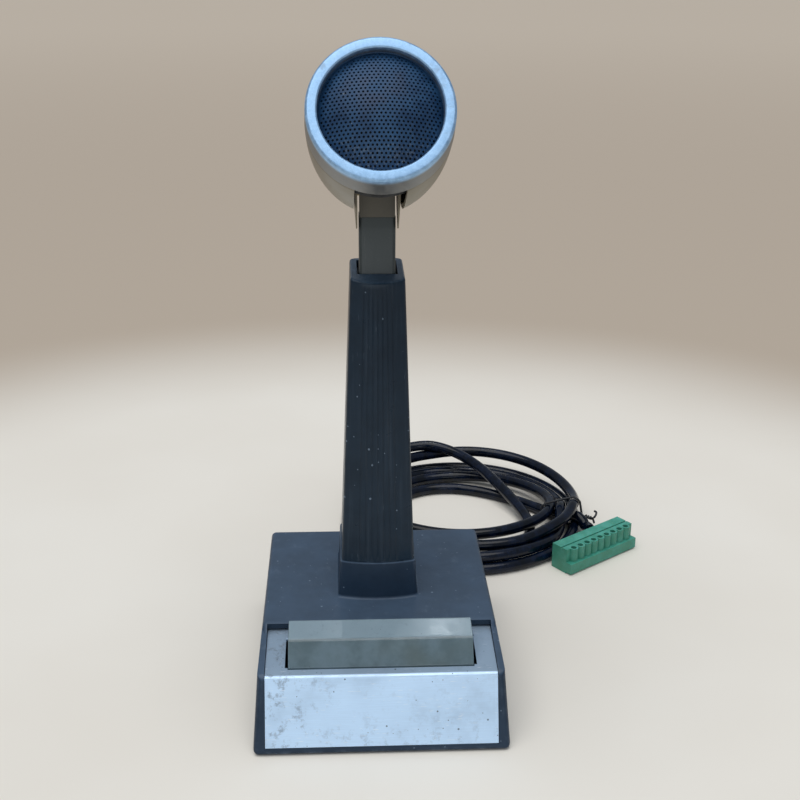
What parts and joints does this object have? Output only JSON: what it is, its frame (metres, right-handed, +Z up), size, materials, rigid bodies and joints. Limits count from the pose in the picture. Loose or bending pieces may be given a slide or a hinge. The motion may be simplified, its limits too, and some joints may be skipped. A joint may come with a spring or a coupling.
{
  "type": "desk paging microphone",
  "caption": "Press-to-talk desk microphone: weighted wedge base with a wide talk bar, tapered column, sliding arm, tilting round head and a coiled lead with a terminal plug.",
  "frame": {"origin": "on the table, at the middle of the base's outline", "axes": "+X to the right, +Y to the back, +Z up; the talk bar and the head face -Y"},
  "size_m": [0.2009, 0.284, 0.2846],
  "materials": {
    "slate_housing": "moulded, satin, scuffed",
    "bare_steel": "zinc plated",
    "black_rubber": "matt",
    "cast_weight": "rough casting",
    "panel_aluminium": "anodised satin sheet",
    "bar_grey": "satin moulding",
    "insulator": "phenolic board",
    "contact_brass": "bare",
    "contact_silver": "bare silver",
    "black_plastic": "matt",
    "arm_olive": "satin paint",
    "arm_head_brown": "satin paint",
    "shell_beige": "satin paint",
    "ring_silver": "fine bead-blasted",
    "grille_blue": "satin paint",
    "windscreen_cloth": "open weave",
    "clear_film": "thin film",
    "copper_wire": "enamelled wire",
    "cord_jacket": "glossy jacket",
    "wire_red": "wire insulation",
    "plug_green": "satin moulding"
  },
  "bodies": {
    "base": {"base_housing": "slate_housing", "base_plate": "bare_steel", "base_plate_screws": "bare_steel", "base_feet": "black_rubber", "ballast_weight": "cast_weight", "front_panel": "panel_aluminium", "panel_screws": "bare_steel", "pivot_bracket": "bare_steel", "pivot_pin": "bare_steel", "pivot_clips": "bare_steel", "return_springs": "bare_steel", "switch_insulators": "insulator", "switch_blades": "contact_brass", "switch_contacts": "contact_silver", "switch_screws": "bare_steel", "terminal_strip": "insulator", "terminal_screws": "contact_brass", "column": "slate_housing", "column_screws": "bare_steel", "arm_guide": "black_plastic", "friction_spring": "bare_steel", "strain_relief": "black_rubber", "cord_lead": "cord_jacket", "cord_coil": "cord_jacket", "cord_crossing": "cord_jacket", "cord_tail": "cord_jacket", "cord_tie": "black_plastic", "plug_wires": "wire_red", "plug_housing": "plug_green", "plug_screws": "bare_steel", "plug_contacts": "contact_brass"},
    "bar": {"talk_bar": "bar_grey", "talk_bar_lever": "bare_steel", "lever_screws": "bare_steel", "switch_plunger": "insulator"},
    "arm": {"arm": "arm_olive", "arm_head": "arm_head_brown", "arm_stop": "bare_steel", "microphone_lead": "black_rubber", "friction_washers": "contact_brass"},
    "head": {"tilt_pin": "bare_steel", "tilt_yoke": "shell_beige", "yoke_screws": "bare_steel", "rear_shell": "shell_beige", "front_ring": "ring_silver", "grille": "grille_blue", "windscreen": "windscreen_cloth", "capsule_case": "black_plastic", "capsule_cover": "black_plastic", "diaphragm": "clear_film", "voice_coil": "copper_wire", "magnet": "bare_steel", "pole_plate": "bare_steel", "shock_mount": "black_rubber"}
  },
  "joints": [
    {"name": "talk_bar_press", "type": "hinge", "parent": "base", "child": "bar", "pos_m": [0, -0.008, 0.027], "axis": [1, 0, 0], "range_deg": [0, 5], "stiffness_Nm_per_rad": 0.5, "springref_deg": -8.02, "deforming": ["return_springs"]},
    {"name": "arm_slide", "type": "slide", "parent": "base", "child": "arm", "axis": [0, 0, 1], "range_m": [-0.014, 0.02]},
    {"name": "head_tilt", "type": "hinge", "parent": "arm", "child": "head", "pos_m": [0, 0.016, 0.224], "axis": [1, 0, 0], "range_deg": [-15, 30]}
  ]
}
